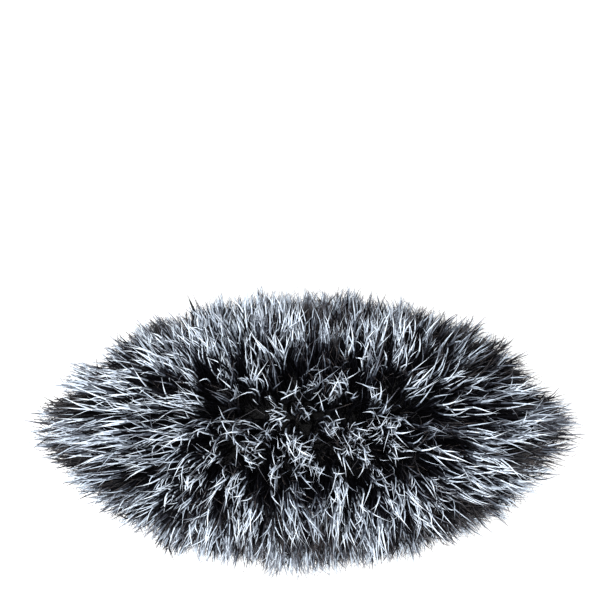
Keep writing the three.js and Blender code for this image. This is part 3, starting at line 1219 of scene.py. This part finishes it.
class Panel(Enum):
    """The cover's four cut panels, each with the plan angles of its two seams in degrees."""

    BACK = (35, 145)
    LEFT = (145, 215)
    FRONT = (215, 325)
    RIGHT = (-35, 35)

    @property
    def node(self) -> str:
        """Name the node that the panel stands for."""
        return f"fur_{self.name.lower()}"


@dataclass(frozen=True)
class Coat:
    """One kind of fibre in the pile: its dye, and how closely it stands on the crown and walls."""

    name: str
    dye: DyeLot
    joints: int
    on_crown: float
    on_walls: float
    sizes: dict[str, float]


@dataclass
class FurCover:
    """The slip-on cover: four panels of long pile on a knitted backing.

    Slope is 0 where the backing looks up and 1 where it is upright. End is 0 in the middle of
    the cover's length and 1 near its two points.
    """

    COATS = (
        Coat("guard_hair", GUARD_DYE, 8, 1.0, 0.5, {
            "strands_per_square_metre": 960000.0, "locks_per_square_metre": 105000.0}),
        Coat("underfur", UNDER_DYE, 5, 1.0, 1.1, {
            "strands_per_square_metre": 520000.0, "lock_pull": 0.35, "shortest": 0.35,
            "longest": 0.88, "strand_radius": 0.0004, "hooked_share": 0.3}),
        Coat("fluff", FLUFF_DYE, 6, 0.1, 1.0, {
            "strands_per_square_metre": 300000.0, "lock_pull": 0.3, "shortest": 0.7,
            "longest": 1.08, "strand_radius": 0.00011, "curl": 0.0034, "hooked_share": 0.4}),
    )
    SEED, SEED_STEP = 71, 100

    backing: OvalDome
    pile: OvalDome
    wall: float = 0.0007
    across: int = 44
    up: int = 52
    shortest: float = 0.015
    longest: float = 0.034
    lean: float = 0.62  # how far the nap lies over on the slopes, against out
    lean_from: float = 0.3  # the slope where it reaches that
    end_start: float = 0.02
    end_run: float = 0.035
    reach_out: float = 0.8  # how much more the nap at the ends runs lengthwise
    draw_in: float = 0.45  # and how much less across
    thin_ends: float = 0.3
    # painted shade: the tone is pushed darker toward the two ends
    painted_end_shade: float = 0.12
    bulge: float = 0.16  # how far a strand bows, against its length
    loose_slope: float = 0.7  # the slope where the pile is most even
    crown_loose: float = 1.25
    even: float = 0.55  # how much more even it is there than on the crown
    crown_ends: tuple[float, float] = (0.45, 0.85)  # slopes from crown to wall thickness
    # painted shade and light by slope: paler on the crown, darker where the backing turns down, a
    # little paler on the upright walls
    painted_shade_slopes: tuple[float, ...] = (0.3, 0.6, 0.85)
    painted_shade_steps: tuple[float, ...] = (-0.13, 0.18, -0.07)

    def seams(self, panel: Panel) -> list[float]:
        """Find where a panel's two seams stand on the backing.

        Args:
            panel: The panel.

        Returns:
            The turn of each seam, in the form's own measure.
        """
        ratio, power = self.backing.half_length / self.backing.half_width, self.backing.plan_x / 2
        seams = []
        for angle in map(math.radians, panel.value):
            x, y = math.cos(angle), math.sin(angle)
            seams.append(math.atan2(math.copysign(abs(y * ratio) ** power, y),
                                    math.copysign(abs(x) ** power, x)))
        if seams[1] < seams[0]:
            seams[1] += 2 * math.pi
        return seams

    def comb(self, roots: np.ndarray, coat: Coat) -> dict[str, np.ndarray]:
        """Say which way the pile lies at each root, how far it reaches and how close it stands.

        Args:
            roots: Points on the backing.
            coat: The kind of fibre.

        Returns:
            The sweep, lift, crowd, loose, ragged and painted shade of each root.
        """
        out = self.backing.normal(roots)
        fall = np.array([0.0, 0.0, -1.0]) - out * (-out[:, 2:])
        fall /= np.maximum(np.linalg.norm(fall, axis=1, keepdims=True), 1e-6)
        slope = np.clip(1 - out[:, 2], 0, 1)
        lean = self.lean * np.minimum(slope / self.lean_from, 1) * (1 - 0.3 * slope)
        way = out + fall * lean[:, None]
        end = np.clip((np.abs(roots[:, 0]) - self.end_start) / self.end_run, 0, 1)
        way[:, 0] *= 1 + self.reach_out * end
        way[:, 1] *= 1 - self.draw_in * end
        way /= np.linalg.norm(way, axis=1, keepdims=True)
        near, far = np.full(len(roots), self.shortest), np.full(len(roots), self.longest)
        for _ in range(18):
            middle = (near + far) / 2
            inside = self.pile.fill(roots + way * middle[:, None]) < 1
            near, far = np.where(inside, middle, near), np.where(inside, far, middle)
        length = near[:, None]
        crowd = np.interp(slope, self.crown_ends, (coat.on_crown, coat.on_walls))
        even = self.even * np.clip(slope / self.loose_slope, 0, 1)
        return {
            "sweep": way * length,
            "lift": (out - way * 0.6) * length * self.bulge,
            "crowd": crowd * (1 - self.thin_ends * end),
            "loose": self.crown_loose - even,
            "ragged": 1.0 - even,
            # painted shade by slope and toward the ends
            "painted_shade": np.interp(slope, self.painted_shade_slopes, self.painted_shade_steps) + self.painted_end_shade * end,
        }

    def scalp(self, panel: Panel, coat: Coat) -> Mesh:
        """Make the base that a panel's strands grow on.

        Args:
            panel: The panel.
            coat: The kind of fibre.

        Returns:
            A mesh that carries what comb says of each root.
        """
        wide, high = self.across, self.up
        turn, rise = np.meshgrid(np.linspace(*self.seams(panel), wide),
                                 np.linspace(0, 0.995, high))
        points = self.backing.point(turn.ravel(), rise.ravel())
        faces = [(i + j, i + j + 1, i + wide + j + 1, i + wide + j)
                 for i in range(0, (high - 1) * wide, wide) for j in range(wide - 1)]
        mesh = draw(f"scalp_{panel.name.lower()}", points.tolist(), [], faces)
        for name, values in self.comb(points, coat).items():
            kind, entry = (VECTOR, "vector") if values.ndim > 1 else (FLOAT, "value")
            attribute = mesh.attributes.new(name, kind, "POINT")
            attribute.data.foreach_set(entry, values.astype(np.float32).ravel())
        return mesh

    def cloth(self, panel: Panel, finish: Material) -> None:
        """Sew a panel's knitted backing.

        Args:
            panel: The panel.
            finish: The cloth's material.
        """
        rows = self.backing.rows(np.linspace(*self.seams(panel), self.across), self.up)
        mesh = skin_over(rows, ring=False, tip=(0, 0, self.backing.top))
        piece = thicken(place_mesh(f"{panel.node}_backing", mesh, finish), self.wall)
        settle(piece, "cover", "knit", panel.node)

    def build(self, finish: Material) -> None:
        """Sew every panel and grow its pile.

        Args:
            finish: The backing's material.
        """
        for panel in Panel:
            self.cloth(panel, finish)
        for coat in self.COATS:
            tree = StrandTree(coat.name, coat.dye, coat.joints)
            for number, panel in enumerate(Panel):
                pile = tree.grow(f"{panel.node}_{coat.name}", self.scalp(panel, coat),
                                 seed=self.SEED + self.SEED_STEP * number, **coat.sizes)
                settle(pile, "cover", "fur", panel.node)


# The studio


@dataclass(frozen=True)
class Studio:
    """A pale floor, soft light and the camera that looks down on the crown."""

    height: float = 0.65
    aside: float = -0.0016
    aim: float = 0.0402
    aim_level: float = 0.03
    lens: float = 120.0
    sensor: float = 36.0
    floor_half: float = 3.0
    floor_grey: float = 0.93
    room_light: float = 1.1
    lamp_place: Colour = (-0.22, -0.02, 1.16)
    lamp_power: float = 26.0
    lamp_size: float = 0.9

    def camera(self) -> None:
        """Place the camera above the crown."""
        made = put("camera", bpy.data.cameras.new("camera"))
        made.data.lens, made.data.sensor_width = self.lens, self.sensor
        made.location = (self.aside, 0.0, self.height)
        made.rotation_euler = (math.atan2(self.aim, self.height - self.aim_level), 0.0, 0.0)
        bpy.context.scene.camera = made

    def floor(self) -> None:
        """Lay the floor."""
        half = self.floor_half
        corners = [(-half, -half, 0), (half, -half, 0), (half, half, 0), (-half, half, 0)]
        mesh = draw("floor", corners, [], [(0, 1, 2, 3)])
        paint = Shade("floor_paint")
        paint.set(paint.shader, "Base Color", (*[self.floor_grey] * 3, 1.0))
        paint.set(paint.shader, "Roughness", 0.9)
        mesh.materials.append(paint.material)
        put("floor", mesh)

    def lights(self) -> None:
        """Hang one broad light and light the room evenly."""
        world = bpy.data.worlds.new("room")
        world.use_nodes = True
        room = world.node_tree.nodes["Background"].inputs
        room["Color"].default_value = (1, 1, 1, 1)
        room["Strength"].default_value = self.room_light
        bpy.context.scene.world = world
        lamp = bpy.data.lights.new("broad_light", "AREA")
        lamp.energy, lamp.size = self.lamp_power, self.lamp_size
        made = put("broad_light", lamp)
        made.location = Vector(self.lamp_place)
        made.rotation_euler = made.location.to_track_quat("Z", "Y").to_euler()

    def build(self) -> None:
        """Set the whole stage."""
        self.floor()
        self.lights()
        self.camera()
        bpy.context.scene.view_settings.view_transform = "Standard"


def main() -> None:
    """Build every sub-assembly."""
    logging.basicConfig(level=logging.INFO, format="%(message)s")
    low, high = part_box("cover_lining")
    skin = 1.1 * MM
    backing = OvalDome(high.x + skin, high.y + skin, 3.5 * MM, 14 * MM, high.z + skin)
    pile = OvalDome(88.5 * MM, 42.4 * MM, 1.5 * MM, 27 * MM, 95 * MM, 2.1, 1.22, 2.2, 0.12)
    knit = Cloth("knit", (0.0012, 0.0012, 0.0015), (0.006, 0.006, 0.007), 0.0011, 0.0013,
                 sheen=0.05).material()
    tape = Cloth("hem_webbing", (0.003, 0.003, 0.0035), (0.020, 0.020, 0.023),
                 0.0016, 0.0009).material()
    band = Cloth("ribbed_elastic", (0.004, 0.004, 0.005), (0.030, 0.030, 0.034),
                 0.0007, 0.0016).material()
    mesh = SpacerMesh("spacer_mesh").material()
    nylon = Moulding("grained_nylon").material()
    rubber = Elastomer("seal_rubber", (0.008, 0.008, 0.009), (0.022, 0.022, 0.024),
                       0.0004, 0.00005).material()
    foam = Elastomer("open_foam", (0.006, 0.006, 0.007), (0.050, 0.050, 0.055),
                     0.0009, 0.0005).material()
    steel = Steel("plated_steel").material()
    FurCover(backing, pile).build(knit)
    hem = HemBand(tape, band, StitchTree(tape)).build()
    SoftDome("lining_knit", "cover_lining", "cover", "knit", knit, ("sock_mesh",),
             0.8 * MM).build(hem)
    SoftDome("sock_mesh", "spacer_sock", "frame", "spacer_mesh", mesh,
             ("cage_front", "cage_back"), 2 * MM).build()
    CrownPad(foam).build()
    Grips(CoilTree(steel)).build()
    sides = ("right", "left")
    dress(nylon, "cage_front", "cage_back", "crown_plate", "collar",
          *[f"{part}_{side}" for part in ("jaw", "end_plate") for side in sides])
    dress(rubber, "mouth_seal", *[f"jaw_pad_{side}" for side in sides])
    dress(steel, "crown_screw_front", "crown_screw_back",
          *[f"base_screw_{number}" for number in (1, 2, 3, 4)],
          *[f"jaw_pin_{side}" for side in sides])
    Studio().build()


if __name__ == "__main__":
    main()
